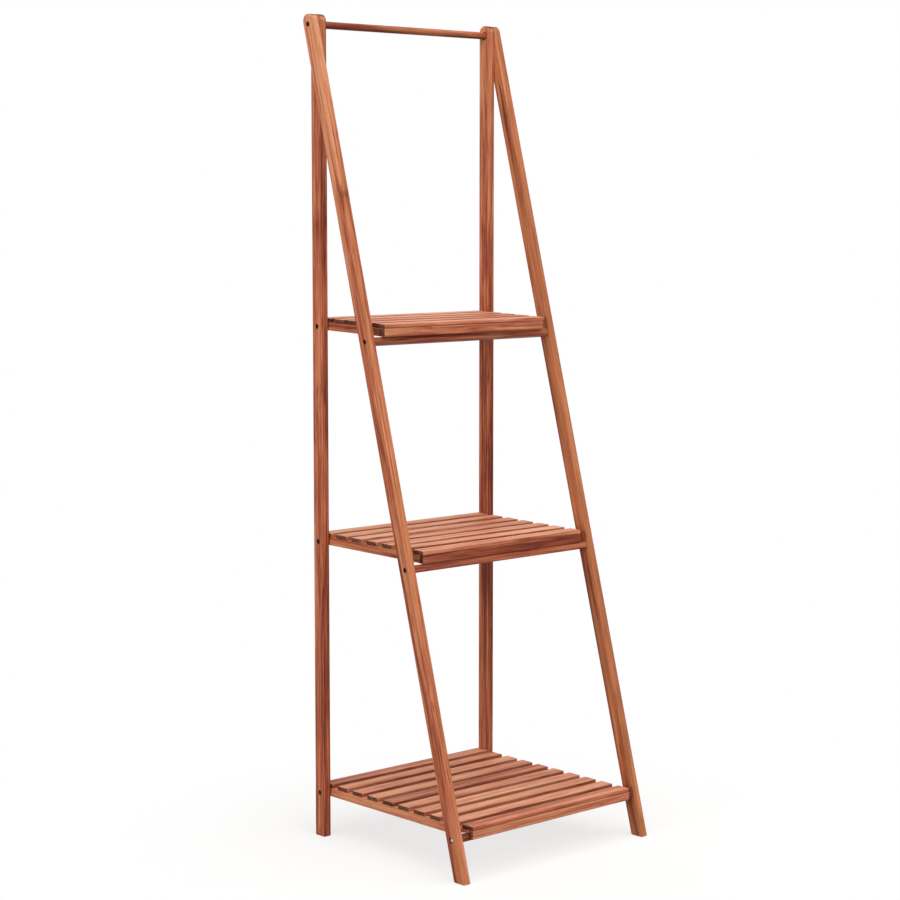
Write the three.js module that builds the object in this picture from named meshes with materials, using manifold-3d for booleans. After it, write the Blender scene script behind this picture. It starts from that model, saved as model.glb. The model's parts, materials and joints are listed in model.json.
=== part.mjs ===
// A folding three-tier plant stand made of stained softwood strips.
// Millimetres, +Z up. The front of the stand faces -Y, and left is -X, as a person in front of it sees it.
// Two upright rear legs and two slanting front legs share one pivot line at the top, where a round bar joins
// the rear pair. Each slatted shelf turns on two screws in the rear legs and rests on a crossbar of the front pair.
import * as THREE from "three";
import { mergeVertices } from "three/addons/utils/BufferGeometryUtils.js";
import Module from "manifold-3d";

const wasm = await Module();
wasm.setup();

// Heights of the shelves, which are those of their slats' upper faces between the rear legs
const bottomShelfHeight = 73; // above the floor
const middleShelfRise = 353; // above the bottom shelf
const topShelfRise = 296; // above the middle shelf
const pivotRise = 394; // the screws that join front and rear legs, above the top shelf

// The shelves slope down a little towards the front, where they rest on the crossbars
const topShelfSlope = THREE.MathUtils.degToRad(1.9);
const middleShelfSlope = THREE.MathUtils.degToRad(1.1);
const bottomShelfSlope = THREE.MathUtils.degToRad(0.5);

// Legs
const legThickness = 12; // across the stand
const legDepth = 19; // front to back
const rearLegsInside = 300; // clear width between the rear legs
const legSideGap = 0.5; // between a rear leg and the front leg beside it
const legPastPivot = 14; // how far the rounded leg ends stand past the pivot
const frontLegTilt = THREE.MathUtils.degToRad(15); // from the vertical, with the stand open
const frontHeelRadius = 3; // rounding at the back of a front leg's foot
const edgeEase = 0.8; // every long edge is eased by this much

// Bar and crossbars
const barDiameter = 10;
const barSocketDepth = 4; // the bar's ends are let into the rear legs
const crossbarHeight = 10; // along the front legs
const crossbarDepth = 12; // square to the front legs
const upperCrossbarForward = 1.5; // from the middle of the legs to the middle of the two upper crossbars
const bottomCrossbarForward = -1; // the bottom one lies behind the middle of the legs

// Shelves
const shelfSideGap = 1.4; // between a shelf and the rear leg beside it
const slatWidth = 21;
const slatThickness = 5.5;
const topSlats = 5; // how many slats each shelf has, spread evenly over its depth
const middleSlats = 7;
const bottomSlats = 10;
const railWidth = 12;
const upperRailHeight = 11.2;
const bottomRailHeight = 12;
const topApronThickness = 10;
const lowerApronThickness = 6.5;
const shelfFrontHeight = 17; // the front slat and the apron under it
const shelfPivotDrop = 11.5; // the shelf screws, below the slats' upper faces
const apronLap = 3; // an apron's back stands this far behind the crossbar edge that it rests on
const hookRise = 7.4; // the bottom crossbar's upper edge, above the lower edge of the apron that hooks over it
const hookGap = 0.7; // between that apron's back and the crossbar
const notchFlat = 2; // level part of a rail's notch behind the crossbar's highest edge
const notchEase = THREE.MathUtils.degToRad(2); // the notch's ramp is this much flatter than the legs' tilt

// Screws
const shankDiameter = 3.6;
const headDiameter = 6;
const headHeight = 2.2;
const slotLength = 3.4; // cross recess in a head
const slotWidth = 0.8;
const slotDepth = 1;
const recessDepth = 4; // the heads sit in holes bored this deep into the legs
const barScrewGrip = 22; // how deep the screws go into the bar, the crossbars and the rails
const crossbarScrewGrip = 25;
const railScrewGrip = 9.5;

// Clearances
const touchGap = 0.3; // between pieces that touch
const roundSides = 16; // facets of a hole or a screw

const middleShelfHeight = bottomShelfHeight + middleShelfRise;
const topShelfHeight = middleShelfHeight + topShelfRise;
const pivotHeight = topShelfHeight + pivotRise;
const halfDepth = legDepth / 2;
const rearLegInner = rearLegsInside / 2;
const rearLegOuter = rearLegInner + legThickness;
const frontLegInner = rearLegOuter + legSideGap;
const frontLegOuter = frontLegInner + legThickness;
const shelfHalfWidth = rearLegInner - shelfSideGap;
const legWoodPastRecess = legThickness - recessDepth;
const shelfBackEdge = halfDepth; // flush with the backs of the rear legs

// crossbarRise: how far the crossbar's upper edge stands above the apron's lower edge. crossbarForward: the
// crossbar's middle, in front of the middle of the legs.
const tiers = [
  {
    name: "top",
    height: topShelfHeight,
    slope: topShelfSlope,
    slats: topSlats,
    railHeight: upperRailHeight,
    apronThickness: topApronThickness,
    crossbarRise: 0,
    crossbarForward: upperCrossbarForward,
  },
  {
    name: "middle",
    height: middleShelfHeight,
    slope: middleShelfSlope,
    slats: middleSlats,
    railHeight: upperRailHeight,
    apronThickness: lowerApronThickness,
    crossbarRise: 0,
    crossbarForward: upperCrossbarForward,
  },
  {
    name: "bottom",
    height: bottomShelfHeight,
    slope: bottomShelfSlope,
    slats: bottomSlats,
    railHeight: bottomRailHeight,
    apronThickness: lowerApronThickness,
    crossbarRise: hookRise,
    crossbarForward: bottomCrossbarForward,
  },
];

const legWood = new THREE.MeshStandardMaterial({ color: "#b4694b", roughness: 0.6, metalness: 0 });
const shelfWood = new THREE.MeshStandardMaterial({ color: "#cf8f6f", roughness: 0.6, metalness: 0 });
const apronWood = new THREE.MeshStandardMaterial({ color: "#a35f48", roughness: 0.6, metalness: 0 });
const screwSteel = new THREE.MeshStandardMaterial({ color: "#b5b7b9", roughness: 0.35, metalness: 1 });

// A closed geometry as a solid that can be cut.
function toSolid(geometry) {
  const plain = geometry.index ? geometry.toNonIndexed() : geometry.clone();
  plain.deleteAttribute("normal");
  plain.deleteAttribute("uv");
  const merged = mergeVertices(plain, 1e-4);
  const vertProperties = merged.attributes.position.array;
  const triVerts = new Uint32Array(merged.index.array);
  return new wasm.Manifold(new wasm.Mesh({ numProp: 3, vertProperties, triVerts }));
}

function toGeometry(solid) {
  const cut = solid.getMesh();
  const geometry = new THREE.BufferGeometry();
  geometry.setAttribute("position", new THREE.BufferAttribute(new Float32Array(cut.vertProperties), 3));
  geometry.setIndex(new THREE.BufferAttribute(new Uint32Array(cut.triVerts), 1));
  const faceted = geometry.toNonIndexed();
  faceted.computeVertexNormals();
  return faceted;
}

function subtractAll(geometry, cutters) {
  let solid = toSolid(geometry);
  for (const cutter of cutters) {
    solid = solid.subtract(toSolid(cutter));
  }
  return toGeometry(solid);
}

// An outline, drawn anticlockwise, with each corner rounded by its own radius in a few straight steps.
function roundedOutline(corners) {
  const points = [];
  corners.forEach((corner, i) => {
    const here = new THREE.Vector2(corner.x, corner.y);
    const before = corners[(i + corners.length - 1) % corners.length];
    const after = corners[(i + 1) % corners.length];
    const back = new THREE.Vector2(before.x, before.y).sub(here).normalize();
    const ahead = new THREE.Vector2(after.x, after.y).sub(here).normalize();
    const halfAngle = Math.acos(THREE.MathUtils.clamp(back.dot(ahead), -1, 1)) / 2;
    const towardsCentre = back.clone().add(ahead).normalize();
    const centre = here.clone().addScaledVector(towardsCentre, corner.radius / Math.sin(halfAngle));
    const start = here.clone().addScaledVector(back, corner.radius / Math.tan(halfAngle)).sub(centre);
    const turn = Math.sign(ahead.cross(back)); // 1 at an outward corner, -1 at an inward one
    const sweep = turn * (Math.PI - 2 * halfAngle);
    for (let step = 0; step <= corner.steps; step += 1) {
      const point = start.clone().rotateAround(new THREE.Vector2(), (sweep * step) / corner.steps).add(centre);
      if (!points.length || point.distanceTo(points[points.length - 1]) > 1e-6) {
        points.push(point);
      }
    }
  });
  return new THREE.Shape(points);
}

// Extrudes an outline, drawn as (y, z) and anticlockwise, along X about X = 0, with all its edges eased.
function extrudeAcross(outline, width) {
  const geometry = new THREE.ExtrudeGeometry(outline, {
    depth: width - 2 * edgeEase,
    bevelEnabled: true,
    bevelThickness: edgeEase,
    bevelSize: edgeEase,
    bevelOffset: -edgeEase,
    bevelSegments: 1,
    curveSegments: 1,
  });
  geometry.translate(0, 0, edgeEase - width / 2);
  const yToX = new THREE.Vector3(0, 1, 0);
  const zToY = new THREE.Vector3(0, 0, 1);
  const xToZ = new THREE.Vector3(1, 0, 0);
  return geometry.applyMatrix4(new THREE.Matrix4().makeBasis(yToX, zToY, xToZ));
}

function rectangle(back, front, low, high, radius = edgeEase) {
  return [
    { x: front, y: low, radius, steps: 1 },
    { x: back, y: low, radius, steps: 1 },
    { x: back, y: high, radius, steps: 1 },
    { x: front, y: high, radius, steps: 1 },
  ];
}

// A round cutter along X from one x to another, at (y, z).
function boreAcross(fromX, toX, diameter, y, z) {
  const bore = new THREE.CylinderGeometry(diameter / 2, diameter / 2, Math.abs(toX - fromX), roundSides);
  bore.rotateZ(Math.PI / 2);
  bore.translate((fromX + toX) / 2, y, z);
  return bore;
}

// A recess for a screw's head in a leg's outer face, and the hole for its shank right through the leg.
// The leg's middle is at X = 0, and side is -1 for a left leg and 1 for a right one.
function screwHole(side, y, z) {
  const outer = (side * legThickness) / 2;
  return [
    boreAcross(outer + side, outer - side * recessDepth, headDiameter + 2 * touchGap, y, z),
    boreAcross(outer, -outer - side, shankDiameter + 2 * touchGap, y, z),
  ];
}

function addPiece(group, name, geometry, material, x, y, z) {
  const piece = new THREE.Mesh(geometry, material);
  piece.name = name;
  piece.position.set(x, y, z);
  group.add(piece);
  return piece;
}

// A pan-head screw with a cross recess. Its head lies in the bored recess of the leg whose outer face is at
// outerX, and its shank points inwards for as long as it is told.
function addScrew(group, name, side, outerX, y, z, shankLength) {
  const headRadius = headDiameter / 2;
  const shankRadius = shankDiameter / 2;
  const profile = [
    new THREE.Vector2(0, -shankLength),
    new THREE.Vector2(shankRadius, shankRadius - shankLength),
    new THREE.Vector2(shankRadius, 0),
    new THREE.Vector2(headRadius, 0),
    new THREE.Vector2(headRadius, headHeight / 2),
    new THREE.Vector2(headRadius * 0.7, headHeight),
    new THREE.Vector2(0, headHeight),
  ];
  const body = new THREE.LatheGeometry(profile, roundSides);
  const slots = [
    new THREE.BoxGeometry(slotLength, 2 * slotDepth, slotWidth),
    new THREE.BoxGeometry(slotWidth, 2 * slotDepth, slotLength),
  ];
  slots.forEach((slot) => slot.translate(0, headHeight, 0));
  const geometry = subtractAll(body, slots);
  geometry.rotateZ((-side * Math.PI) / 2);
  const headSeat = side * (outerX - recessDepth + touchGap);
  addPiece(group, name, geometry, screwSteel, headSeat, y, z);
}

// The crossbar's section is square to the front legs. These are its outermost points, from its middle, with the
// stand open: the highest edge, which carries the shelf, and the reach towards the front.
const sine = Math.sin(frontLegTilt);
const cosine = Math.cos(frontLegTilt);
const crossbarTopRise = (crossbarDepth / 2 - edgeEase) * sine + (crossbarHeight / 2) * cosine;
const crossbarTopForward = (crossbarDepth / 2 - edgeEase) * cosine - (crossbarHeight / 2) * sine;
const crossbarFrontReach = (crossbarDepth / 2) * cosine + (crossbarHeight / 2 - edgeEase) * sine;

// Works out where a tier's crossbar and shelf lie. alongLeg counts down a front leg from its pivot. The shelf's own
// sizes count from its pivot line, along the shelf and square to it: notchCeiling, the crossbar's highest edge, the
// apron's back and the shelf's front.
function planTier(tier) {
  const notchCeiling = shelfPivotDrop - shelfFrontHeight + tier.crossbarRise;
  const pivotZ = tier.height - shelfPivotDrop;
  const turnedBack = new THREE.Matrix4().makeRotationX(-tier.slope);
  const fall = Math.tan(tier.slope);
  const legFall = Math.tan(frontLegTilt);

  // the crossbar's middle lies at Y = legFall * Z - legReach, and its highest edge just under the sloping ceiling
  const legReach = tier.crossbarForward / cosine + legFall * pivotHeight;
  const ceilingAbovePivotLine = pivotZ + (notchCeiling - touchGap) / Math.cos(tier.slope);
  const levelZ = ceilingAbovePivotLine - fall * (legReach + crossbarTopForward) - crossbarTopRise;
  const crossbarZ = levelZ / (1 - fall * legFall);
  const crossbarY = legFall * crossbarZ - legReach;
  const alongLeg = (pivotHeight - crossbarZ + tier.crossbarForward * sine) / cosine;

  const onShelf = (y, z) => new THREE.Vector3(0, y, z - pivotZ).applyMatrix4(turnedBack).y;
  const crossbarEdge = onShelf(crossbarY - crossbarTopForward, crossbarZ + crossbarTopRise);
  const hooked = tier.crossbarRise > 0;
  const hookBack = onShelf(crossbarY - crossbarFrontReach, crossbarZ) - hookGap;
  const apronBack = hooked ? hookBack : crossbarEdge + apronLap;
  const front = apronBack - tier.apronThickness;
  return { ...tier, hooked, notchCeiling, alongLeg, crossbarEdge, apronBack, front, pivotZ };
}

const plans = tiers.map(planTier);
const sides = [
  { side: -1, label: "left" },
  { side: 1, label: "right" },
];

// The upright legs and the round bar between them.
function buildRearFrame() {
  const group = new THREE.Group();
  const legTop = pivotHeight + legPastPivot;
  const outline = roundedOutline([
    { x: -halfDepth, y: 0, radius: edgeEase, steps: 1 },
    { x: halfDepth, y: 0, radius: edgeEase, steps: 1 },
    { x: halfDepth, y: legTop, radius: halfDepth, steps: 7 },
    { x: -halfDepth, y: legTop, radius: halfDepth, steps: 7 },
  ]);
  for (const { side, label } of sides) {
    const inner = (-side * legThickness) / 2;
    const shankHole = shankDiameter + 2 * touchGap;
    const cutters = plans.flatMap((plan) => screwHole(side, 0, plan.pivotZ));
    cutters.push(boreAcross(-inner + side, inner - side, shankHole, 0, pivotHeight));
    const socketEnd = inner + side * barSocketDepth;
    cutters.push(boreAcross(inner - side, socketEnd, barDiameter + 2 * touchGap, 0, pivotHeight));
    const leg = subtractAll(extrudeAcross(outline, legThickness), cutters);
    addPiece(group, `rear_leg_${label}`, leg, legWood, side * (rearLegInner + legThickness / 2), 0, 0);
  }
  const barLength = rearLegsInside + 2 * (barSocketDepth - touchGap);
  const bar = new THREE.CylinderGeometry(barDiameter / 2, barDiameter / 2, barLength, 2 * roundSides);
  bar.rotateZ(Math.PI / 2);
  const pilots = sides.map(({ side }) => {
    const end = (side * barLength) / 2;
    const depth = barScrewGrip + touchGap;
    return boreAcross(end + side, end - side * depth, shankDiameter + 2 * touchGap, 0, 0);
  });
  addPiece(group, "top_bar", subtractAll(bar, pilots), legWood, 0, 0, pivotHeight);
  for (const { side, label } of sides) {
    const throughLegs = legWoodPastRecess + legSideGap + legThickness - barSocketDepth;
    const length = throughLegs + barScrewGrip;
    addScrew(group, `top_pivot_screw_${label}`, side, frontLegOuter, 0, pivotHeight, length);
  }
  return group;
}

// The slanting legs and their crossbars, drawn upright below the pivot and tilted as one.
function buildFrontFrame() {
  const group = new THREE.Group();
  const footAt = (y) => (y * sine - pivotHeight) / cosine;
  const outline = roundedOutline([
    { x: -halfDepth, y: footAt(-halfDepth), radius: edgeEase, steps: 1 },
    { x: halfDepth, y: footAt(halfDepth), radius: frontHeelRadius, steps: 3 },
    { x: halfDepth, y: legPastPivot, radius: halfDepth, steps: 7 },
    { x: -halfDepth, y: legPastPivot, radius: halfDepth, steps: 7 },
  ]);
  for (const { side, label } of sides) {
    const cutters = plans.flatMap((plan) => screwHole(side, -plan.crossbarForward, -plan.alongLeg));
    cutters.push(...screwHole(side, 0, 0));
    const leg = subtractAll(extrudeAcross(outline, legThickness), cutters);
    addPiece(group, `front_leg_${label}`, leg, legWood, side * (frontLegInner + legThickness / 2), 0, 0);
  }
  const section = roundedOutline(
    rectangle(crossbarDepth / 2, -crossbarDepth / 2, -crossbarHeight / 2, crossbarHeight / 2),
  );
  const crossbarLength = 2 * (frontLegInner - touchGap);
  const pilots = sides.map(({ side }) => {
    const end = (side * crossbarLength) / 2;
    const depth = crossbarScrewGrip + touchGap;
    return boreAcross(end + side, end - side * depth, shankDiameter + 2 * touchGap, 0, 0);
  });
  for (const plan of plans) {
    const y = -plan.crossbarForward;
    const z = -plan.alongLeg;
    const crossbar = subtractAll(extrudeAcross(section, crossbarLength), pilots);
    addPiece(group, `${plan.name}_crossbar`, crossbar, legWood, 0, y, z);
    for (const { side, label } of sides) {
      const length = legWoodPastRecess + crossbarScrewGrip;
      addScrew(group, `${plan.name}_crossbar_screw_${label}`, side, frontLegOuter, y, z, length);
    }
  }
  group.position.z = pivotHeight;
  group.rotation.x = -frontLegTilt;
  return group;
}

// A side rail's outline. On a shelf that hooks over its crossbar, the front of the rail is notched, with a ramp
// that the crossbar slides out under as the legs close.
function railOutline(plan, low, high) {
  const front = plan.apronBack + touchGap;
  const ceiling = plan.notchCeiling;
  if (!plan.hooked || ceiling <= low + edgeEase) {
    return roundedOutline(rectangle(shelfBackEdge, front, low, high));
  }
  const rampStart = plan.crossbarEdge + notchFlat;
  const rampEnd = rampStart + (ceiling - low) / Math.tan(frontLegTilt - notchEase);
  return roundedOutline([
    { x: front, y: ceiling, radius: edgeEase, steps: 1 },
    { x: rampStart, y: ceiling, radius: edgeEase, steps: 1 },
    { x: rampEnd, y: low, radius: edgeEase, steps: 1 },
    { x: shelfBackEdge, y: low, radius: edgeEase, steps: 1 },
    { x: shelfBackEdge, y: high, radius: edgeEase, steps: 1 },
    { x: front, y: high, radius: edgeEase, steps: 1 },
  ]);
}

// One shelf, about its own pivot line: slats across two side rails, and an apron under the front slat.
function buildShelf(plan) {
  const group = new THREE.Group();
  const slatTop = shelfPivotDrop;
  const slatBottom = slatTop - slatThickness;
  const railTop = slatBottom - touchGap;
  const shelfWidth = 2 * shelfHalfWidth;
  const slatPitch = (shelfBackEdge - plan.front - slatWidth) / (plan.slats - 1);
  const slat = roundedOutline(rectangle(slatWidth / 2, -slatWidth / 2, slatBottom, slatTop));
  for (let n = 0; n < plan.slats; n += 1) {
    const middle = plan.front + slatWidth / 2 + slatPitch * n;
    const name = `${plan.name}_slat_${n + 1}`;
    addPiece(group, name, extrudeAcross(slat, shelfWidth), shelfWood, 0, middle, 0);
  }
  const apronLow = slatTop - shelfFrontHeight;
  const apron = roundedOutline(rectangle(plan.apronBack, plan.front, apronLow, railTop));
  addPiece(group, `${plan.name}_apron`, extrudeAcross(apron, shelfWidth), apronWood, 0, 0, 0);
  const rail = railOutline(plan, slatBottom - plan.railHeight, railTop);
  for (const { side, label } of sides) {
    const outer = (side * railWidth) / 2;
    const pilotEnd = outer - side * (railScrewGrip + touchGap);
    const pilot = boreAcross(outer + side, pilotEnd, shankDiameter + 2 * touchGap, 0, 0);
    const geometry = subtractAll(extrudeAcross(rail, railWidth), [pilot]);
    const x = side * (shelfHalfWidth - railWidth / 2);
    addPiece(group, `${plan.name}_rail_${label}`, geometry, legWood, x, 0, 0);
    const length = legWoodPastRecess + shelfSideGap + railScrewGrip;
    addScrew(group, `${plan.name}_shelf_screw_${label}`, side, rearLegOuter, 0, 0, length);
  }
  group.position.z = plan.pivotZ;
  group.rotation.x = plan.slope;
  return group;
}

const stand = new THREE.Group();
stand.add(buildRearFrame());
stand.add(buildFrontFrame());
for (const plan of plans) {
  stand.add(buildShelf(plan));
}

// The origin is on the floor, in the middle of the ground that the open stand covers.
const extent = new THREE.Box3().setFromObject(stand, true);
stand.position.y = -(extent.min.y + extent.max.y) / 2;

export default stand;
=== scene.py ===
import json
import math

import bmesh
import bpy
from mathutils import Matrix, Vector

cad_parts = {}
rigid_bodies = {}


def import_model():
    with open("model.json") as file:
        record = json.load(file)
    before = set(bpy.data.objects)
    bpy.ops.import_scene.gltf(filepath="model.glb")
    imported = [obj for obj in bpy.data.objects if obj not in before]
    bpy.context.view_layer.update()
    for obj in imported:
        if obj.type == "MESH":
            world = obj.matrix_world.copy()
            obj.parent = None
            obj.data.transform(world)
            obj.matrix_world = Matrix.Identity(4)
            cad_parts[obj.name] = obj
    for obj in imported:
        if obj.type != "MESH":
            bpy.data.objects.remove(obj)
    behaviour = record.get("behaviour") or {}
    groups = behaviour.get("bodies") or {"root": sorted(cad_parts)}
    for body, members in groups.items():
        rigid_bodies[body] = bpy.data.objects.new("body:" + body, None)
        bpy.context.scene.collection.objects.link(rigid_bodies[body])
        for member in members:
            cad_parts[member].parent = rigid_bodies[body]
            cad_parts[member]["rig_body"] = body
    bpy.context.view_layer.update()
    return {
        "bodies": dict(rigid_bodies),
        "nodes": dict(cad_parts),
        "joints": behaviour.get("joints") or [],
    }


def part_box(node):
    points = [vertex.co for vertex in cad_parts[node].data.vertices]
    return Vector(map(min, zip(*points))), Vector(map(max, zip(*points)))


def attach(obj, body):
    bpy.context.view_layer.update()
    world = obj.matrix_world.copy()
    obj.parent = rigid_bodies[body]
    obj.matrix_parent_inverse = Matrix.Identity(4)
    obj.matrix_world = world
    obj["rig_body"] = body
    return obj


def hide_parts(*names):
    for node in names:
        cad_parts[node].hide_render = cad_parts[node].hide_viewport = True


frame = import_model()
tiers = ["top", "middle", "bottom"]
sides = {"left": -1, "right": 1}
pivots = {joint["child"]: Vector(joint["pos_m"]) for joint in frame["joints"]}
print("frame loaded:", len(frame["nodes"]), "nodes")


class Wire:
    # an output socket that can stand in a sum
    def __init__(self, tree, socket):
        self.tree = tree
        self.socket = socket

    def other(self, name):
        return Wire(self.tree, self.socket.node.outputs[name])

    def __add__(self, value):
        return self.tree.math("ADD", self, value)

    def __sub__(self, value):
        return self.tree.math("SUBTRACT", self, value)

    def __rsub__(self, value):
        return self.tree.math("SUBTRACT", value, self)

    def __mul__(self, value):
        return self.tree.math("MULTIPLY", self, value)

    def __truediv__(self, value):
        return self.tree.math("DIVIDE", self, value)

    __radd__ = __add__
    __rmul__ = __mul__


class Tree:
    # a material's, world's or modifier's nodes
    def __init__(self, nodeTree):
        nodeTree.nodes.clear()
        self.nodes = nodeTree.nodes
        self.links = nodeTree.links

    def add(self, kind, settings=None, values=None, output=0):
        node = self.nodes.new(kind)
        for name, setting in (settings or {}).items():
            if name == "stops":
                self.fillRamp(node.color_ramp, setting)
            else:
                setattr(node, name, setting)
        for key, value in (values or {}).items():
            if isinstance(value, Wire):
                self.links.new(value.socket, node.inputs[key])
            else:
                node.inputs[key].default_value = value
        return Wire(self, node.outputs[output]) if len(node.outputs) else node

    def fillRamp(self, ramp, stops):
        while len(ramp.elements) < len(stops):
            ramp.elements.new(1.0)
        for element, (position, shade) in zip(ramp.elements, stops):
            element.position = position
            element.color = shade

    def math(self, operation, *values):
        return self.add("ShaderNodeMath", {"operation": operation}, dict(enumerate(values)))

    def vector(self, operation, *values):
        return self.add("ShaderNodeVectorMath", {"operation": operation}, dict(enumerate(values)))

    def scale(self, vector, factor):
        return self.add("ShaderNodeVectorMath", {"operation": "SCALE"}, {0: vector, 3: factor})

    def split(self, vector):
        parts = self.add("ShaderNodeSeparateXYZ", values={0: vector})
        return parts, parts.other("Y"), parts.other("Z")

    def join(self, x, y, z):
        return self.add("ShaderNodeCombineXYZ", values={0: x, 1: y, 2: z})

    def ease(self, value, low, high):
        limits = {"Value": value, "From Min": low, "From Max": high}
        return self.add("ShaderNodeMapRange", {"interpolation_type": "SMOOTHSTEP"}, limits)

    def blend(self, factor, first, second):
        return self.add("ShaderNodeMix", {"data_type": "RGBA"}, {0: factor, 6: first, 7: second}, output=2)


def shade(text):
    # "#rrggbb" as the linear colour that a shader takes
    channels = [int(text[i:i + 2], 16) / 255 for i in (1, 3, 5)]
    linear = [c / 12.92 if c <= 0.04045 else ((c + 0.055) / 1.055) ** 2.4 for c in channels]
    return (*linear, 1.0)


cameraLook = {
    "place": (-2.1324, -2.2665, 0.8778), "yaw": -42.54, "pitch": -6.17, "lens": 91.4, "sensor": 36.0,
}
lampLooks = {
    "overhead": {"strength": 3.0, "spread": 78.0, "from": (-0.1, -0.42, 1.0), "tint": "#fffcf8"},
    "frontPanel": {"strength": 0.72, "spread": 20.0, "from": (-0.3, -1.0, 0.07), "tint": "#ffffff"},
    "leftPanel": {"strength": 1.55, "spread": 30.0, "from": (-1.0, -0.15, 0.12), "tint": "#ffffff"},
    "backPanel": {
        "strength": 1.1, "spread": 40.0, "from": (0.5, 1.0, 0.1), "tint": "#ffffff",
        "sheen": False,  # it lights, but adds no shine
    },
}
lampDistance = 3.0  # a sun lights the same from anywhere, so this only keeps them out of the stand
worldLook = {"ambient": 0.15, "tint": "#fff8f2"}
floorLook = {
    "reach": 6.0, "colour": "#f4f4f4", "bounce": "#747474",
    "shadowRadius": 0.2, "clearRadius": 0.55, "shadowShare": 0.3,  # the shadow fades out between the radii
}


def addCamera(look):
    camera = bpy.data.objects.new("camera", bpy.data.cameras.new("camera"))
    camera.location = look["place"]
    camera.rotation_euler = (math.radians(90 + look["pitch"]), 0, math.radians(look["yaw"]))
    camera.data.lens = look["lens"]
    camera.data.sensor_width = look["sensor"]
    bpy.context.scene.collection.objects.link(camera)
    bpy.context.scene.camera = camera


def addLamp(name, look):
    lamp = bpy.data.lights.new(name, "SUN")
    lamp.energy = look["strength"]
    lamp.angle = math.radians(look["spread"])
    lamp.color = shade(look["tint"])[:3]
    holder = bpy.data.objects.new(name, lamp)
    holder.rotation_euler = Vector(look["from"]).to_track_quat("Z", "Y").to_euler()
    holder.location = Vector(look["from"]) * lampDistance
    bpy.context.scene.collection.objects.link(holder)
    holder.visible_glossy = look.get("sheen", True)


def seenDirectly(tree):
    # 1 for what the camera, a mirror or glass shows, 0 for light on the object
    path = tree.add("ShaderNodeLightPath")
    throughGlass = tree.math("MAXIMUM", path.other("Is Glossy Ray"), path.other("Is Transmission Ray"))
    return tree.math("MAXIMUM", path, throughGlass)


def addWorld(look):
    world = bpy.data.worlds.new("studio")
    world.use_nodes = True
    bpy.context.scene.world = world
    tree = Tree(world.node_tree)
    values = {"Color": shade(look["tint"]), "Strength": look["ambient"]}
    ambient = tree.add("ShaderNodeBackground", values=values)
    white = tree.add("ShaderNodeBackground", values={"Color": (1, 1, 1, 1), "Strength": 1.0})
    shown = tree.add("ShaderNodeMixShader", values={0: seenDirectly(tree), 1: ambient, 2: white})
    tree.add("ShaderNodeOutputWorld", values={"Surface": shown})


def addFloor(look):
    reach = look["reach"]
    mesh = bpy.data.meshes.new("floor")
    corners = [(-reach, -reach, 0), (reach, -reach, 0), (reach, reach, 0), (-reach, reach, 0)]
    mesh.from_pydata(corners, [], [(0, 1, 2, 3)])
    floor = bpy.data.objects.new("floor", mesh)
    bpy.context.scene.collection.objects.link(floor)
    material = bpy.data.materials.new("paleFloor")
    material.use_nodes = True
    tree = Tree(material.node_tree)
    place = tree.add("ShaderNodeTexCoord").other("Object")
    away = tree.add("ShaderNodeVectorMath", {"operation": "LENGTH"}, {0: place}, output=1)
    far = tree.ease(away, look["shadowRadius"], look["clearRadius"])
    direct = seenDirectly(tree)
    colour = tree.blend(direct, shade(look["bounce"]), shade(look["colour"]))
    matt = tree.add("ShaderNodeBsdfDiffuse", values={"Color": colour})
    white = tree.add("ShaderNodeEmission", values={"Color": (1, 1, 1, 1), "Strength": 1.0})
    shareWhite = 1 - (1 - far) * look["shadowShare"]
    shown = tree.add("ShaderNodeMixShader", values={0: direct * shareWhite, 1: matt, 2: white})
    tree.add("ShaderNodeOutputMaterial", values={"Surface": shown})
    mesh.materials.append(material)


addCamera(cameraLook)
for lampName, lampLook in lampLooks.items():
    addLamp(lampName, lampLook)
addWorld(worldLook)
addFloor(floorLook)
bpy.context.scene.view_settings.view_transform = "Standard"
print("studio set")


# Every board carries vector attributes:
# grain: where a point lies along, across and through its board
# board: the board's seed, its tone, and how much lighter it is towards its front edge (darker where this is
# below 0)
# faces: how squarely a face cuts the grain, how far it looks up, and its painted shade, 1 in a hole, less in
# a gap
# knot: on legs, a knot's place along and across, and its radius
# In a look, each Grain is a number of features to a metre, along the board and across it.

legWoodLook = {
    "stops": [(0.0, "#5e2818"), (0.28, "#8f442c"), (0.5, "#b56546"), (0.74, "#cf8460"), (1.0, "#e4a982")],
    "middleTone": 0.56, "frontShiftLift": 0.12, "paintedTopLight": 0.0,
    "driftGrain": (1.6, 25.0), "driftDepth": 0.7,
    "bandGrain": (4.5, 150.0), "bandDepth": 1.3,
    "fibreGrain": (15.0, 420.0), "fibreDepth": 1.2,
    "fleckGrain": (24.0, 260.0), "fleckDepth": 0.3,
    "swayGrain": (9.0, 20.0), "sway": 0.006,
    "ringPitch": 0.0046, "ringDepth": 0.14, "ringGrain": (1.5, 120.0), "ringWobble": 6.0,
    "pithSpread": 0.05, "pithDepth": 0.012, "wanderGrain": (2.2, 14.0), "wander": 0.02,
    "paintedFade": 0.27, "fadeFrom": -0.55, "fadeTo": 0.02, "fadeMiddle": 0.4,  # painted light: legs are paler towards their tops
    "honey": "#cd8b59", "honeyShare": 0.36, "honeyGrain": (5.0, 110.0),
    "poreShade": "#5a2b1e", "poreShare": 0.35, "poreGrain": (50.0, 2400.0),
    "knot": "#4f2418", "knotShare": 0.36, "knotHalo": 0.17, "knotStretch": 0.6, "knotGrain": (60.0, 160.0),
    # the hole colour is painted shade, on the walls of the holes and on the slats' sides in the gaps
    "endGrain": "#4b261a", "endShare": 0.78, "hole": "#1d0e09", "paintedShadeShare": 0.9,
    "roughness": 0.52, "gloss": 0.18, "bump": 0.35, "bumpHeight": 0.0004,
}
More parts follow.
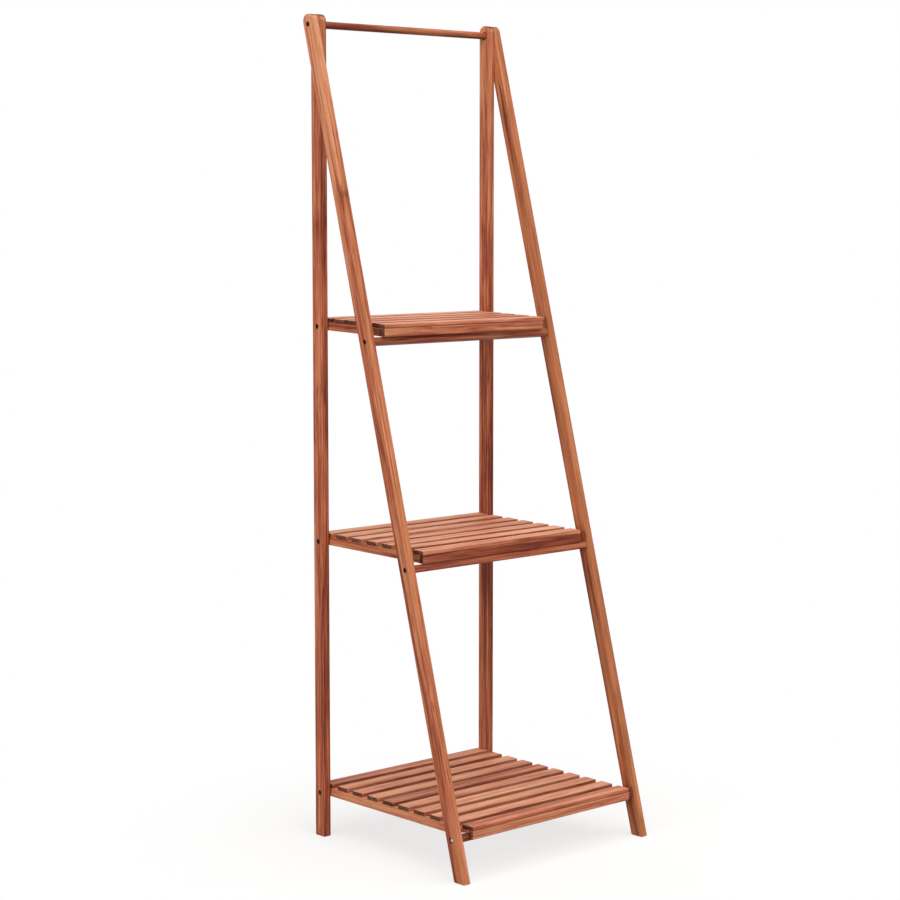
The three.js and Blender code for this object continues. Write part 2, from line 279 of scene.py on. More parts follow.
shelfWoodLook = {
    **legWoodLook,
    "stops": [(0.0, "#823f29"), (0.28, "#ab5f42"), (0.5, "#c87c5d"), (0.74, "#dc9877"), (1.0, "#efbf9d")],
    "honey": "#dba172", "paintedFade": 0.0, "paintedTopLight": 0.06, "endGrain": "#361910",
}
stripWoodLook = {
    **legWoodLook,
    "stops": [(0.0, "#632718"), (0.28, "#8c432e"), (0.5, "#ac5c42"), (0.74, "#c97b5a"), (1.0, "#e09f79")],
    "paintedFade": 0.0, "endGrain": "#361910",
}


def makeWood(name, look):
    material = bpy.data.materials.new(name)
    material.use_nodes = True
    tree = Tree(material.node_tree)
    grain = tree.add("ShaderNodeAttribute", {"attribute_name": "grain"}, output=1)
    along, across, through = tree.split(grain)
    seed, tone, frontShift = tree.split(tree.add("ShaderNodeAttribute", {"attribute_name": "board"}, output=1))
    faces = tree.add("ShaderNodeAttribute", {"attribute_name": "faces"}, output=1)
    endFacing, upFacing, stained = tree.split(faces)
    knot = tree.add("ShaderNodeAttribute", {"attribute_name": "knot"}, output=1)
    knotAlong, knotAcross, knotRadius = tree.split(knot)

    def streaks(features, detail=2.0, roughness=0.5, place=grain):
        # noise drawn out along the board
        lengthwise, crosswise = features
        stretched = tree.vector("MULTIPLY", place, (lengthwise, crosswise, crosswise))
        values = {"Vector": stretched, "W": seed, "Scale": 1.0, "Detail": detail, "Roughness": roughness}
        return tree.add("ShaderNodeTexNoise", {"noise_dimensions": "4D"}, values)

    # the knot, longer along the grain than across it, with darker wood round it
    ragged = streaks(look["knotGrain"]) - 0.5
    knotX = (along - knotAlong) * look["knotStretch"]
    knotY = across - knotAcross
    knotAway = tree.math("SQRT", knotX * knotX + knotY * knotY) / (knotRadius + 0.00001) + ragged
    knotHere = tree.ease(knotRadius, 0.0, 0.001)
    knotCore = knotHere * (1 - tree.ease(knotAway, 0.5, 1.3))
    knotHalo = knotHere * (1 - tree.ease(knotAway, 0.8, 4.5))

    # growth rings round a pith that lies outside the board and wanders along it
    luckyNumbers = tree.add("ShaderNodeTexWhiteNoise", {"noise_dimensions": "1D"}, {"W": seed}, output=1)
    pithAside, pithBelow, luckyHue = tree.split(luckyNumbers)
    wander = (streaks(look["wanderGrain"], 1.0) - 0.5) * look["wander"]
    aside = across + (pithAside - 0.5) * look["pithSpread"] + wander + knotHalo * 0.003
    below = through + pithBelow * 0.03 + look["pithDepth"]
    radius = tree.math("SQRT", aside * aside + below * below)
    wobble = streaks(look["ringGrain"]) * look["ringWobble"]
    wave = tree.math("SINE", radius * (2 * math.pi / look["ringPitch"]) + wobble)
    lateWood = tree.ease(wave, 0.1, 1.0)

    # the streaks, from the broadest to the finest
    drift = streaks(look["driftGrain"], 1.0) - 0.5
    sway = (streaks(look["swayGrain"]) - 0.5) * look["sway"]
    swaying = tree.vector("ADD", grain, tree.join(0.0, sway, sway))
    band = streaks(look["bandGrain"], 3.0, 0.55, swaying) - 0.5
    fibre = streaks(look["fibreGrain"], 3.0, 0.6, swaying) - 0.5
    fleck = tree.ease(streaks(look["fleckGrain"], place=swaying), 0.56, 0.74)
    fineFibre = streaks(look["poreGrain"])
    pores = tree.ease(fineFibre, 0.58, 0.72)

    # painted light: the legs grow paler towards their tops
    nearTop = tree.ease(along, look["fadeFrom"], look["fadeTo"]) - look["fadeMiddle"]
    # upFacing adds painted light to the upper faces
    value = (tone + look["middleTone"] + drift * look["driftDepth"] + band * look["bandDepth"]
             + fibre * look["fibreDepth"] - lateWood * look["ringDepth"] - fleck * look["fleckDepth"]
             + frontShift * look["frontShiftLift"] + upFacing * look["paintedTopLight"] - knotHalo * look["knotHalo"]
             + nearTop * look["paintedFade"])
    stops = [(position, shade(text)) for position, text in look["stops"]]
    colour = tree.add("ShaderNodeValToRGB", {"stops": stops}, {0: value})
    honey = streaks(look["honeyGrain"], place=swaying) + (luckyHue - 0.5) * 0.12 + frontShift * 0.1
    colour = tree.blend(tree.ease(honey, 0.5, 0.66) * look["honeyShare"], colour, shade(look["honey"]))
    colour = tree.blend(pores * look["poreShare"], colour, shade(look["poreShade"]))
    colour = tree.blend(knotCore * look["knotShare"], colour, shade(look["knot"]))
    cut = tree.ease(endFacing, 0.4, 0.85)
    colour = tree.blend(cut * (look["endShare"] + lateWood * 0.2), colour, shade(look["endGrain"]))
    # painted shade: the hole colour darkens the walls of the holes and the slats' sides in the gaps
    colour = tree.blend(stained * look["paintedShadeShare"], colour, shade(look["hole"]))

    height = fibre * 0.35 + fineFibre * 0.35 - lateWood * 0.2 - pores * 0.4 - knotCore * 0.3
    values = {"Strength": look["bump"], "Distance": look["bumpHeight"], "Height": height}
    shader = tree.add("ShaderNodeBsdfPrincipled", values={
        "Base Color": colour,
        "Roughness": look["roughness"] + fibre * 0.12 + cut * 0.2,
        "Specular IOR Level": look["gloss"],
        "Normal": tree.add("ShaderNodeBump", values=values),
    })
    tree.add("ShaderNodeOutputMaterial", values={"Surface": shader})
    return material


screwLook = {
    "steel": "#dcdee0", "shadeAndTarnish": "#120a07", "roughness": 0.3, "cloudScale": 900.0,
    "brushScale": 5200.0, "bump": 0.2, "bumpHeight": 0.00005,
    "head": 0.003, "headHeight": 0.0022, "shank": 0.0018, "edge": 0.0003, "facets": 40, "sharpAngle": 35,
    "dome": [(0.0, 0.7), (0.35, 0.93), (0.6, 1.0)],  # shares of the head's height and radius
    "slotLength": 0.0036, "slotWidth": 0.0009, "slotDepth": 0.0012, "slotTaper": (1.0, 0.6, 0.55),
    "bright": ["bottom_crossbar_screw_left", "bottom_crossbar_screw_right"],  # painted shade darkens the rest
    "turnStep": 2.4,  # radians from one screw's cross to the next one's
}


def makeSteel(name, look):
    material = bpy.data.materials.new(name)
    material.use_nodes = True
    tree = Tree(material.node_tree)
    place = tree.add("ShaderNodeTexCoord").other("Object")
    stained = tree.add("ShaderNodeAttribute", {"attribute_name": "stained"}, output=2)
    values = {"Vector": place, "Scale": look["cloudScale"], "Detail": 3.0}
    cloud = tree.add("ShaderNodeTexNoise", values=values)
    values = {"Vector": place, "Scale": look["brushScale"], "Detail": 1.0}
    brushed = tree.add("ShaderNodeTexNoise", values=values)
    # painted shade darkens every head but the bright ones, and cloudy tarnish darkens all of them a little
    shadeAndTarnishShare = tree.math("MINIMUM", stained * (0.85 + cloud * 0.3) + tree.ease(cloud, 0.55, 0.8) * 0.15, 1.0)
    colour = tree.blend(shadeAndTarnishShare, shade(look["steel"]), shade(look["shadeAndTarnish"]))
    values = {"Strength": look["bump"], "Distance": look["bumpHeight"], "Height": brushed}
    bump = tree.add("ShaderNodeBump", values=values)
    shader = tree.add("ShaderNodeBsdfPrincipled", values={
        "Base Color": colour,
        "Metallic": 1 - shadeAndTarnishShare * 0.9,
        "Roughness": look["roughness"] + cloud * 0.12 + shadeAndTarnishShare * 0.4,
        "Normal": bump,
    })
    tree.add("ShaderNodeOutputMaterial", values={"Surface": shader})
    return material


legWood = makeWood("legWood", legWoodLook)
shelfWood = makeWood("shelfWood", shelfWoodLook)
stripWood = makeWood("stripWood", stripWoodLook)  # aprons, rails, crossbars and the bar
steel = makeSteel("screwSteel", screwLook)
print("materials made")


def settle(piece, keepSharp=False):
    # turns the modifiers' result into the piece's own plain mesh
    normals = piece.modifiers.new("normals", "WEIGHTED_NORMAL")
    normals.keep_sharp = keepSharp
    graph = bpy.context.evaluated_depsgraph_get()
    mesh = bpy.data.meshes.new_from_object(piece.evaluated_get(graph))
    piece.modifiers.clear()
    piece.data = mesh
    mesh.name = piece.name
    return piece


def newPiece(name, mesh):
    piece = bpy.data.objects.new(name, mesh)
    bpy.context.scene.collection.objects.link(piece)
    return piece


def hand(piece, body, slot, *nodes):
    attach(piece, body)
    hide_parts(*nodes)


def geometryGroup(name, sockets):
    group = bpy.data.node_groups.new(name, "GeometryNodeTree")
    group.interface.new_socket("Geometry", in_out="OUTPUT", socket_type="NodeSocketGeometry")
    for label, kind in sockets.items():
        group.interface.new_socket(label, in_out="INPUT", socket_type="NodeSocket" + kind)
    return group


def runGroup(piece, group, values):
    modifier = piece.modifiers.new("nodes", "NODES")
    modifier.node_group = group
    inputs = {item.name: item for item in group.interface.items_tree if item.in_out == "INPUT"}
    for label, value in values.items():
        modifier[inputs[label].identifier] = value
    return settle(piece)


def store(tree, geometry, name, domain, value):
    settings = {"data_type": "FLOAT_VECTOR", "domain": domain}
    return tree.add("GeometryNodeStoreNamedAttribute", settings, {0: geometry, "Name": name, "Value": value})


def middle(node):
    low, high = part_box(node)
    return (low + high) / 2


boardLook = {"edgeSteps": 3}


def makeBoardGroup(look):
    # a row of like boards with rounded edges, each with its own seed and tone
    group = geometryGroup("boardRow", {
        "Count": "Int", "First": "Vector", "Step": "Vector", "Size": "Vector", "Turn": "Vector",
        "Edge": "Float", "Seed": "Int", "Tone": "Float", "Tone Spread": "Float", "Gap Stain": "Float",
        "Material": "Material",
    })
    tree = Tree(group)
    given = tree.add("NodeGroupInput")
    steps = look["edgeSteps"]
    sideVertices = 2 * steps + 2
    values = {0: (2, 2, 2), 1: sideVertices, 2: sideVertices, 3: sideVertices}
    block = tree.add("GeometryNodeMeshCube", values=values)
    place = tree.add("GeometryNodeInputPosition")

    # each axis keeps its middle for the flat faces and bends its outer steps into a quarter circle
    side = tree.vector("SIGN", place)
    scaled = 1 + 1 / (2 * steps)
    taken = -1 / (2 * steps)
    arc = tree.vector("MULTIPLY_ADD", tree.vector("ABSOLUTE", place), (scaled,) * 3, (taken,) * 3)
    swept = tree.vector("TANGENT", tree.scale(arc, math.pi / 4))
    outwards = tree.vector("NORMALIZE", tree.vector("MULTIPLY", swept, side))
    edge = given.other("Edge")
    core = tree.vector("SUBTRACT", tree.scale(given.other("Size"), 0.5), tree.join(edge, edge, edge))
    rounded = tree.vector("ADD", tree.vector("MULTIPLY", side, core), tree.scale(outwards, edge))
    board = tree.add("GeometryNodeSetPosition", values={0: block, "Position": rounded})

    board = store(tree, board, "grain", "POINT", place)
    facing = tree.add("GeometryNodeInputNormal", output=1)
    lengthwise, backwards, upwards = tree.split(facing)
    squareness = tree.math("ABSOLUTE", lengthwise)
    lookingUp = tree.math("MAXIMUM", upwards, 0.0)
    board = store(tree, board, "faces", "FACE", tree.join(squareness, lookingUp, backwards))

    values = {0: given, 2: given.other("First"), 3: given.other("Step")}
    line = tree.add("GeometryNodeMeshLine", {"mode": "OFFSET"}, values)
    turn = tree.add("FunctionNodeEulerToRotation", values={0: given.other("Turn")})
    row = tree.add("GeometryNodeInstanceOnPoints", values={0: line, 2: board, 5: turn})
    index = tree.add("GeometryNodeInputIndex")
    values = {2: 0.0, 3: 90.0, 7: index, 8: given.other("Seed")}
    seed = tree.add("FunctionNodeRandomValue", {"data_type": "FLOAT"}, values, output=1)
    values = {2: -1.0, 3: 1.0, 7: index, 8: given.other("Seed") + 1}
    shift = tree.add("FunctionNodeRandomValue", {"data_type": "FLOAT"}, values, output=1)
    tone = shift * given.other("Tone Spread") + given.other("Tone")
    row = store(tree, row, "board", "INSTANCE", tree.join(seed, tone, 0.0))
    isFirst = tree.math("LESS_THAN", index, 0.5)
    isLast = tree.math("GREATER_THAN", index, given.other("Count") - 1.5)
    row = store(tree, row, "end", "INSTANCE", tree.join(isFirst, isLast, 0.0))

    # sides that face a gap get painted shade; the row's outer sides don't
    boards = tree.add("GeometryNodeRealizeInstances", values={0: row})
    settings = {"data_type": "FLOAT_VECTOR"}
    faces = tree.add("GeometryNodeInputNamedAttribute", settings, {"Name": "faces"})
    squareness, lookingUp, backwards = tree.split(faces)
    end = tree.add("GeometryNodeInputNamedAttribute", settings, {"Name": "end"})
    isFirst, isLast, _ = tree.split(end)
    towardsFront = tree.ease(backwards, -0.4, -0.9) * (1 - isFirst)
    towardsBack = tree.ease(backwards, 0.4, 0.9) * (1 - isLast)
    stained = (towardsFront + towardsBack) * given.other("Gap Stain")
    boards = store(tree, boards, "faces", "FACE", tree.join(squareness, lookingUp, stained))
    boards = tree.add("GeometryNodeSetShadeSmooth", values={0: boards})
    boards = tree.add("GeometryNodeSetMaterial", values={0: boards, 2: given.other("Material")})
    tree.add("NodeGroupOutput", values={0: boards})
    return group


boardGroup = makeBoardGroup(boardLook)


def boardRow(name, nodes, material, look, turn, height, depth):
    low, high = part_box(nodes[0])
    first = middle(nodes[0])
    step = middle(nodes[1]) - first if len(nodes) > 1 else Vector()
    size = Vector((high.x - low.x, depth, height))
    piece = newPiece(name, bpy.data.meshes.new(name))
    return runGroup(piece, boardGroup, {
        "Count": len(nodes), "First": first, "Step": step, "Size": size, "Turn": (turn, 0.0, 0.0),
        "Edge": look["edge"], "Seed": look["seed"], "Tone": look["tone"],
        "Tone Spread": look.get("spread", 0.0), "Gap Stain": look.get("gapPaintedShade", 0.0), "Material": material,
    })


cutLook = {
    "edgeSteps": 3, "arcStep": 10,
    "roundFrom": 35, "sharpFrom": 40,  # edges past the first angle are rounded, past the second shaded sharp
}


def roundedOutline(corners):
    # corners are (y, z, radius), anticlockwise; radius 0 keeps the corner sharp
    points = []
    for i, (y, z, radius) in enumerate(corners):
        here = Vector((y, z))
        if not radius:
            points.append(here)
            continue
        back = (Vector(corners[i - 1][:2]) - here).normalized()
        ahead = (Vector(corners[(i + 1) % len(corners)][:2]) - here).normalized()
        half = back.angle(ahead) / 2
        centre = here + (back + ahead).normalized() * radius / math.sin(half)
        start = here + back * radius / math.tan(half) - centre
        turn = 1 if ahead.cross(back) > 0 else -1
        sweep = turn * (math.pi - 2 * half)
        steps = max(2, round(abs(sweep) / math.radians(cutLook["arcStep"])))
        for n in range(steps + 1):
            point = Matrix.Rotation(sweep * n / steps, 2) @ start + centre
            if not points or (point - points[-1]).length > 1e-6:
                points.append(point)
    return points


def cutBoard(name, outline, thickness, edge):
    # the outline lies in Y and Z; the board is as thick along X, with all its sharp edges rounded
    body = bmesh.new()
    face = body.faces.new([body.verts.new((-thickness / 2, y, z)) for y, z in outline])
    grown = bmesh.ops.extrude_face_region(body, geom=[face])["geom"]
    moved = [part for part in grown if isinstance(part, bmesh.types.BMVert)]
    bmesh.ops.translate(body, verts=moved, vec=(thickness, 0, 0))
    bmesh.ops.recalc_face_normals(body, faces=body.faces)
    roundFrom = math.radians(cutLook["roundFrom"])
    sharp = [line for line in body.edges if line.calc_face_angle(0) > roundFrom]
    steps = cutLook["edgeSteps"]
    bmesh.ops.bevel(body, geom=sharp, offset=edge, segments=steps, profile=0.5, affect="EDGES")
    mesh = bpy.data.meshes.new(name)
    body.to_mesh(mesh)
    body.free()
    return mesh


def turnedMesh(name, profile, facets):
    # profile is (x, radius) from one end of the axis to the other
    body = bmesh.new()
    line = [body.verts.new((x, 0, radius)) for x, radius in profile]
    edges = [body.edges.new(pair) for pair in zip(line, line[1:])]
    bmesh.ops.spin(body, geom=line + edges, cent=(0, 0, 0), axis=(1, 0, 0), angle=2 * math.pi, steps=facets)
    bmesh.ops.remove_doubles(body, verts=body.verts, dist=1e-6)
    bmesh.ops.recalc_face_normals(body, faces=body.faces)
    mesh = bpy.data.meshes.new(name)
    body.to_mesh(mesh)
    body.free()
    return mesh


def bore(name, piece, cutters):
    # cutters are meshes; all are taken out of the piece
    joined = bmesh.new()
    for cutter in cutters:
        joined.from_mesh(cutter)
    mesh = bpy.data.meshes.new(name)
    joined.to_mesh(mesh)
    joined.free()
    holder = newPiece(name, mesh)
    modifier = piece.modifiers.new("holes", "BOOLEAN")
    modifier.operation = "DIFFERENCE"
    modifier.solver = "EXACT"
    modifier.object = holder
    graph = bpy.context.evaluated_depsgraph_get()
    mesh = bpy.data.meshes.new_from_object(piece.evaluated_get(graph))
    piece.modifiers.clear()
    piece.data = mesh
    bpy.data.objects.remove(holder)
    return piece


def hole(x, side, y, z, radius, depth, throughRadius, through, facets=40, lip=0.0004, past=0.001):
    # a stepped hole from a board's face at x inwards, its mouth eased by the lip
    # side is 1 for a face to +X, and past is how far the cutter stands out of the board
    profile = [(-past, 0), (-past, radius + lip + past), (lip, radius), (depth, radius),
               (depth, throughRadius), (through + past, throughRadius), (through + past, 0)]
    mesh = turnedMesh("hole", profile, facets)
    turn = Matrix.Rotation(math.pi if side > 0 else 0.0, 4, "Z")
    offGrid = Matrix.Rotation(math.radians(4), 4, "X")  # no facet lines up with the board's corners
    mesh.transform(Matrix.Translation((x, y, z)) @ turn @ offGrid)
    return mesh


def inside(place, holes, thickness, skin=0.0003):
    # holes are (along, across, radius) in the board; its outer faces, as thin as the skin, are in none
    if abs(place.z) > thickness / 2 - skin:
        return 0.0
    return float(any(math.hypot(place.x - x, place.y - y) < radius for x, y, radius in holes))


def markBoard(piece, lay, own, width=0.0, thickness=0.0, holes=()):
    # lay takes a point of the stand to the board: along it, across it and through it
    mesh = piece.data
    turn = lay.to_3x3()
    frontShiftPeak = own.get("frontShift", 0.0)
    mesh.attributes.new("grain", "FLOAT_VECTOR", "POINT")
    mesh.attributes.new("board", "FLOAT_VECTOR", "POINT")
    mesh.attributes.new("knot", "FLOAT_VECTOR", "POINT")
    mesh.attributes.new("faces", "FLOAT_VECTOR", "FACE")
    grain, board, knot, faces = (mesh.attributes[name].data for name in ("grain", "board", "knot", "faces"))
    for vertex in mesh.vertices:
        place = lay @ vertex.co
        grain[vertex.index].vector = place
        frontShift = frontShiftPeak * (0.5 - place.y / width) if frontShiftPeak else 0.0
        board[vertex.index].vector = (own["seed"], own["tone"], frontShift)
        knot[vertex.index].vector = own.get("knot", (0.0, 0.0, 0.0))
    for face in mesh.polygons:
        facing = turn @ face.normal
        # faces inside a hole are marked for painted shade
        sunk = inside(lay @ face.center, holes, thickness)
        faces[face.index].vector = (abs(facing.x) * (1 - sunk), max(face.normal.z, 0.0), sunk)


def finishBoard(piece, material):
    mesh = piece.data
    mesh.materials.clear()
    mesh.materials.append(material)
    for face in mesh.polygons:
        face.use_smooth = True
    mesh.set_sharp_from_angle(angle=math.radians(cutLook["sharpFrom"]))
    return settle(piece, keepSharp=True)


legLook = {
    "edge": 0.0011, "pastPivot": 0.014, "tilt": 15.0, "heel": 0.003,
    "recess": 0.0033, "recessDepth": 0.004, "shankHole": 0.0021, "socket": 0.0056, "socketDepth": 0.004,
    # the radius round each hole's axis within which faces get painted shade
    "holeShadeRadius": 0.006,
    "rear_leg_left": {"seed": 12.6, "tone": 0.07, "frontShift": -1.3, "knot": (-0.268, 0.0, 0.004)},
    "rear_leg_right": {"seed": 27.9, "tone": -0.01, "frontShift": -0.6},
    "front_leg_left": {"seed": 43.1, "tone": 0.02, "frontShift": 1.2, "knot": (-0.237, -0.0085, 0.0035)},
    "front_leg_right": {"seed": 58.6, "tone": -0.22, "frontShift": 1.8, "knot": (-0.118, -0.002, 0.004)},
}
pivot = pivots["front_frame"]
tilt = math.radians(legLook["tilt"])
tilted = Matrix.Translation(pivot) @ Matrix.Rotation(-tilt, 4, "X")  # from a front leg's own upright place
alongUp = Matrix(((0, 0, 1, 0), (0, 1, 0, 0), (1, 0, 0, 0), (0, 0, 0, 1)))  # grain along Z


def legOutline(halfDepth, top, foot, heel=0.0):
    return roundedOutline([
        (-halfDepth, foot(-halfDepth), 0),
        (halfDepth, foot(halfDepth), heel),
        (halfDepth, top, halfDepth),
        (-halfDepth, top, halfDepth),
    ])


def makeRearLegs(look):
    for label, side in sides.items():
        node = f"rear_leg_{label}"
        low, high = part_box(node)
        halfDepth = (high.y - low.y) / 2
        thickness = high.x - low.x
        outline = legOutline(halfDepth, high.z - pivot.z, lambda y: -pivot.z)
        piece = newPiece(f"rear_leg_board_{label}", cutBoard(node, outline, thickness, look["edge"]))
        outer = side * thickness / 2
        size = (look["recess"], look["recessDepth"], look["shankHole"], thickness)
        cutters = [hole(outer, side, 0, pivots[f"{tier}_shelf"].z - pivot.z, *size) for tier in tiers]
        size = (look["socket"], look["socketDepth"], look["shankHole"], thickness)
        cutters.append(hole(-outer, -side, 0, 0, *size))
        bore("holes", piece, cutters)
        place = Matrix.Translation((side * (abs(low.x) + abs(high.x)) / 2, pivot.y, pivot.z))
        piece.data.transform(place)
        heights = [pivots[f"{tier}_shelf"].z - pivot.z for tier in tiers] + [0]
        holes = [(height, 0, look["holeShadeRadius"]) for height in heights]
        markBoard(piece, alongUp @ place.inverted(), look[node], 2 * halfDepth, thickness, holes)
        finishBoard(piece, legWood)
        hand(piece, "rear_frame", "leg_wood", node)


def makeFrontLegs(look):
    rearLow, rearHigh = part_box("rear_leg_left")
    halfDepth = (rearHigh.y - rearLow.y) / 2

    def foot(y):
        # where the floor cuts the tilted leg
        return (y * math.sin(tilt) - pivot.z) / math.cos(tilt)

    for label, side in sides.items():
        node = f"front_leg_{label}"
        low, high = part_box(node)
        thickness = high.x - low.x
        outline = legOutline(halfDepth, look["pastPivot"], foot, look["heel"])
        piece = newPiece(f"front_leg_board_{label}", cutBoard(node, outline, thickness, look["edge"]))
        outer = side * thickness / 2
        size = (look["recess"], look["recessDepth"], look["shankHole"], thickness)
        screws = [tilted.inverted() @ middle(f"{tier}_crossbar") for tier in tiers] + [Vector()]
        bore("holes", piece, [hole(outer, side, screw.y, screw.z, *size) for screw in screws])
        place = Matrix.Translation((side * (abs(low.x) + abs(high.x)) / 2, 0, 0))
        piece.data.transform(tilted @ place)
        lay = alongUp @ (tilted @ place).inverted()
        holes = [(screw.z, screw.y, look["holeShadeRadius"]) for screw in screws]
        markBoard(piece, lay, look[node], 2 * halfDepth, thickness, holes)
        finishBoard(piece, legWood)
        hand(piece, "front_frame", "leg_wood", node)


makeRearLegs(legLook)
makeFrontLegs(legLook)
print("legs made")


barLook = {"facets": 64, "edge": 0.0008, "seed": 71.2, "tone": -0.22}


def makeBar(look):
    low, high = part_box("top_bar")
    radius = (high.z - low.z) / 2
    half = (high.x - low.x) / 2
    ease = look["edge"]
    profile = [(-half, 0), (-half, radius - ease), (ease - half, radius),
               (half - ease, radius), (half, radius - ease), (half, 0)]
    piece = newPiece("top_bar_dowel", turnedMesh("top_bar_dowel", profile, look["facets"]))
    place = Matrix.Translation(middle("top_bar"))
    piece.data.transform(place)
    markBoard(piece, place.inverted(), look)
    finishBoard(piece, stripWood)
    hand(piece, "rear_frame", "leg_wood", "top_bar")


makeBar(barLook)
print("bar made")


crossbarLook = {
    "height": 0.010, "depth": 0.012,
    # the crossbars' dark tones are partly the wood's own and partly painted shade from the shelf above them
    "top": {"edge": 0.0009, "seed": 3, "tone": -0.34},
    "middle": {"edge": 0.0009, "seed": 5, "tone": -0.2},
    "bottom": {"edge": 0.0009, "seed": 8, "tone": -0.34},
}


def makeCrossbars(look):
    for tier in tiers:
        node = f"{tier}_crossbar"
        name = f"{tier}_crossbar_board"
        piece = boardRow(name, [node], stripWood, look[tier], -tilt, look["height"], look["depth"])
        hand(piece, "front_frame", "leg_wood", node)


makeCrossbars(crossbarLook)
print("crossbars made")


shelfLook = {
    # in the slats' looks, the gap value is the painted shade on the sides that face a gap
    "slatWidth": 0.021, "slatThickness": 0.0055, "frontHeight": 0.017, "pivotDrop": 0.0115,
    "touchGap": 0.0003, "railEdge": 0.0009, "notchFlat": 0.002, "notchEase": 2.0,
    "top": {
        "slope": 1.9, "apronThickness": 0.010, "railHeight": 0.0112,
        "slats": {"edge": 0.0010, "seed": 21, "gapPaintedShade": 0.9, "tone": -0.08, "spread": 0.1},
        "apron": {"edge": 0.0009, "seed": 31, "tone": 0.16},
        "rail": {"seed": 14.7, "tone": -0.18},
    },
    "middle": {
        "slope": 1.1, "apronThickness": 0.0065, "railHeight": 0.0112,
        "slats": {"edge": 0.0010, "seed": 23, "gapPaintedShade": 0.28, "tone": -0.02, "spread": 0.1},
        "apron": {"edge": 0.0009, "seed": 37, "tone": -0.24},
        "rail": {"seed": 34.2, "tone": 0.02},
    },
    "bottom": {
        "slope": 0.5, "apronThickness": 0.0065, "railHeight": 0.012, "hookRise": 0.0074,
        "slats": {"edge": 0.0010, "seed": 29, "gapPaintedShade": 0.4, "tone": -0.1, "spread": 0.12},
        "apron": {"edge": 0.0009, "seed": 38, "tone": 0.2},
        "rail": {"seed": 52.8, "tone": 0.15},
    },
}
alongBack = Matrix(((0, 1, 0, 0), (0, 0, 1, 0), (1, 0, 0, 0), (0, 0, 0, 1)))  # grain along Y


def crossbarEdge(look):
    # a crossbar's highest edge, from its middle
    reach = look["depth"] / 2 - look["top"]["edge"]
    half = look["height"] / 2
    forward = reach * math.cos(tilt) - half * math.sin(tilt)
    return Vector((0, -forward, reach * math.sin(tilt) + half * math.cos(tilt)))


def railOutline(look, tier, level):
    # level takes a point of the stand to the shelf's own level place, about its pivot line
    own = look[tier]
    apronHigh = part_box(f"{tier}_apron")[1]
    back = (level @ apronHigh).y + look["touchGap"]
    legLow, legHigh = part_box("rear_leg_left")
    end = (legHigh.y - legLow.y) / 2
    high = look["pivotDrop"] - look["slatThickness"] - look["touchGap"]
    low = high + look["touchGap"] - own["railHeight"]
    if "hookRise" not in own:
        return [(back, low), (end, low), (end, high), (back, high)]
    # the notch that the crossbar lies in, with a ramp that it slides out under
    ceiling = look["pivotDrop"] - look["frontHeight"] + own["hookRise"]
    rampStart = (level @ (middle(f"{tier}_crossbar") + crossbarEdge(crossbarLook))).y + look["notchFlat"]
    rampEnd = rampStart + (ceiling - low) / math.tan(tilt - math.radians(look["notchEase"]))
    return [(back, ceiling), (rampStart, ceiling), (rampEnd, low), (end, low), (end, high), (back, high)]


def makeShelf(tier, look):
    body = f"{tier}_shelf"
    own = look[tier]
    slope = math.radians(own["slope"])
    shelfPlace = Matrix.Translation(pivots[body]) @ Matrix.Rotation(slope, 4, "X")
    slats = sorted((node for node in frame["nodes"] if node.startswith(f"{tier}_slat_")),
                   key=lambda node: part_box(node)[0].y)
    size = (look["slatThickness"], look["slatWidth"])
    piece = boardRow(f"{tier}_slat_boards", slats, shelfWood, own["slats"], slope, *size)
    hand(piece, body, "shelf_wood", *slats)
    apron = f"{tier}_apron"
    size = (look["frontHeight"] - look["slatThickness"] - look["touchGap"], own["apronThickness"])
    piece = boardRow(f"{apron}_board", [apron], stripWood, own["apron"], slope, *size)
    hand(piece, body, "apron_wood", apron)
    outline = railOutline(look, tier, shelfPlace.inverted())
    for label, side in sides.items():
        node = f"{tier}_rail_{label}"
        low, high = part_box(node)
        mesh = cutBoard(node, outline, high.x - low.x, look["railEdge"])
        piece = newPiece(f"{tier}_rail_board_{label}", mesh)
        place = shelfPlace @ Matrix.Translation(((low.x + high.x) / 2, 0, 0))
        piece.data.transform(place)
        railLook = {**own["rail"], "seed": own["rail"]["seed"] + side}  # the two rails differ
        markBoard(piece, alongBack @ place.inverted(), railLook)
        finishBoard(piece, stripWood)
        hand(piece, body, "leg_wood", node)


for tierName in tiers:
    makeShelf(tierName, shelfLook)
print("shelves made")


def makeScrewMesh(look, length):
    # lies along X: the head's top at 0, the shank towards +X
    head, shank, ease = look["head"], look["shank"], look["edge"]
    height = look["headHeight"]
    profile = [(0, 0), *((height * x, head * radius) for x, radius in look["dome"])]
    profile += [(height - ease, head), (height, head - ease), (height, shank)]
    profile += [(length - shank, shank), (length, 0)]
    screw = newPiece("screw", turnedMesh("screw", profile, look["facets"]))
    slots = []
    for turn in (0, math.pi / 2):
        slot = bmesh.new()
        bmesh.ops.create_cube(slot, size=1.0)
        size = (2 * look["slotDepth"], look["slotWidth"], look["slotLength"])
        bmesh.ops.scale(slot, verts=slot.verts, vec=size)
        inner = [vertex for vertex in slot.verts if vertex.co.x > 0]
        bmesh.ops.scale(slot, verts=inner, vec=look["slotTaper"])
        bmesh.ops.rotate(slot, verts=slot.verts, cent=(0, 0, 0), matrix=Matrix.Rotation(turn, 3, "X"))
        mesh = bpy.data.meshes.new("slot")
        slot.to_mesh(mesh)
        slot.free()
        slots.append(mesh)
    for slot in slots:
        bore("slot", screw, [slot])
    for face in screw.data.polygons:
        face.use_smooth = True
    screw.data.set_sharp_from_angle(angle=math.radians(look["sharpAngle"]))
    return screw


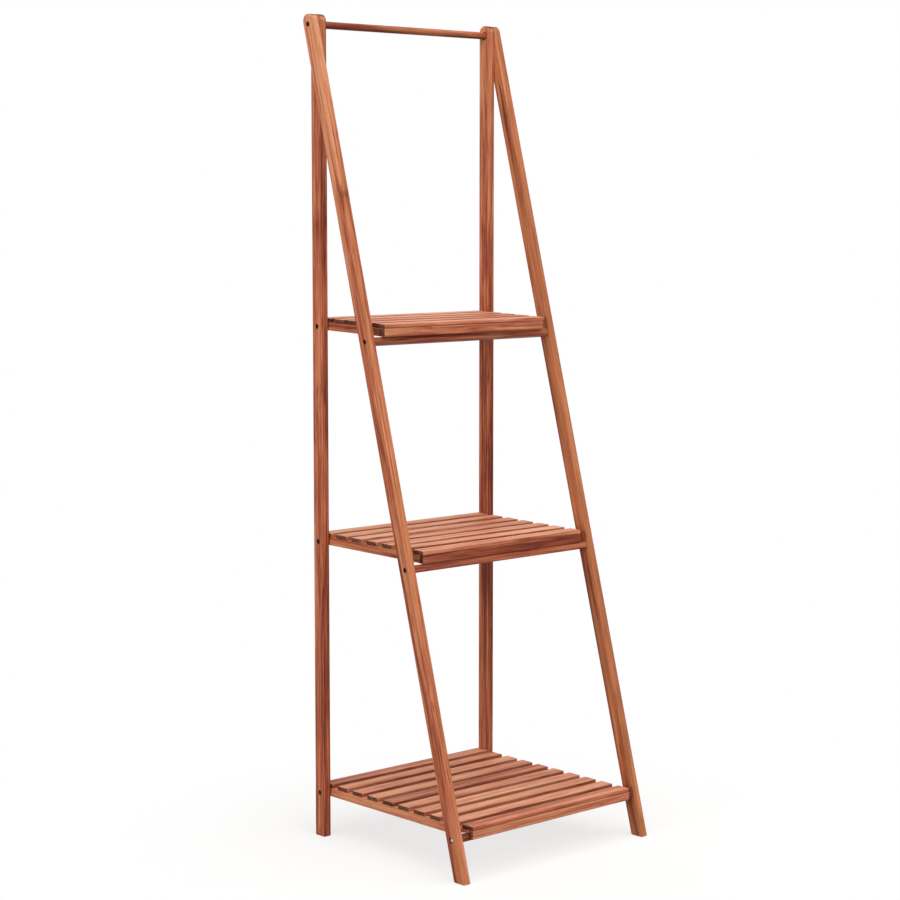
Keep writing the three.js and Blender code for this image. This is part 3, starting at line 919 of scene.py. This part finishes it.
def makeScrewGroup():
    # one screw on every point of the piece's own mesh, turned as the point says
    sockets = {"Points": "Geometry", "Screw": "Object", "Material": "Material"}
    group = geometryGroup("screwsOnPoints", sockets)
    tree = Tree(group)
    given = tree.add("NodeGroupInput")
    shape = tree.add("GeometryNodeObjectInfo", values={0: given.other("Screw")}, output=4)
    facing = tree.add("GeometryNodeInputNamedAttribute", {"data_type": "FLOAT_VECTOR"}, {"Name": "facing"})
    turn = tree.add("FunctionNodeEulerToRotation", values={0: facing})
    screws = tree.add("GeometryNodeInstanceOnPoints", values={0: given, 2: shape, 5: turn})
    screws = tree.add("GeometryNodeRealizeInstances", values={0: screws})
    screws = tree.add("GeometryNodeSetMaterial", values={0: screws, 2: given.other("Material")})
    tree.add("NodeGroupOutput", values={0: screws})
    return group


screwGroup = makeScrewGroup()


def makeScrews(body, look):
    onBody = [node for node, facts in frame["nodes"].items() if facts["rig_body"] == body]
    nodes = sorted(node for node in onBody if "screw" in node)
    low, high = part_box(nodes[0])
    screw = makeScrewMesh(look, high.x - low.x)
    mesh = bpy.data.meshes.new(f"{body}_screws")
    facing = []
    places = []
    stained = []
    for n, node in enumerate(nodes):
        low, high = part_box(node)
        onLeft = low.x < 0
        spot = middle(node)
        places.append((low.x if onLeft else high.x, spot.y, spot.z))
        facing.append(((n * look["turnStep"]) % math.pi, 0.0, 0.0 if onLeft else math.pi))
        stained.append(0.0 if node in look["bright"] else 1.0)
    mesh.from_pydata(places, [], [])
    mesh.attributes.new("facing", "FLOAT_VECTOR", "POINT")
    mesh.attributes.new("stained", "FLOAT", "POINT")
    for n in range(len(nodes)):
        mesh.attributes["facing"].data[n].vector = facing[n]
        mesh.attributes["stained"].data[n].value = stained[n]
    piece = newPiece(f"{body}_screws", mesh)
    runGroup(piece, screwGroup, {"Screw": screw, "Material": steel})
    bpy.data.objects.remove(screw)
    hand(piece, body, "screw_steel", *nodes)


for bodyName in frame["bodies"]:
    makeScrews(bodyName, screwLook)
print("screws made")

bpy.context.view_layer.update()
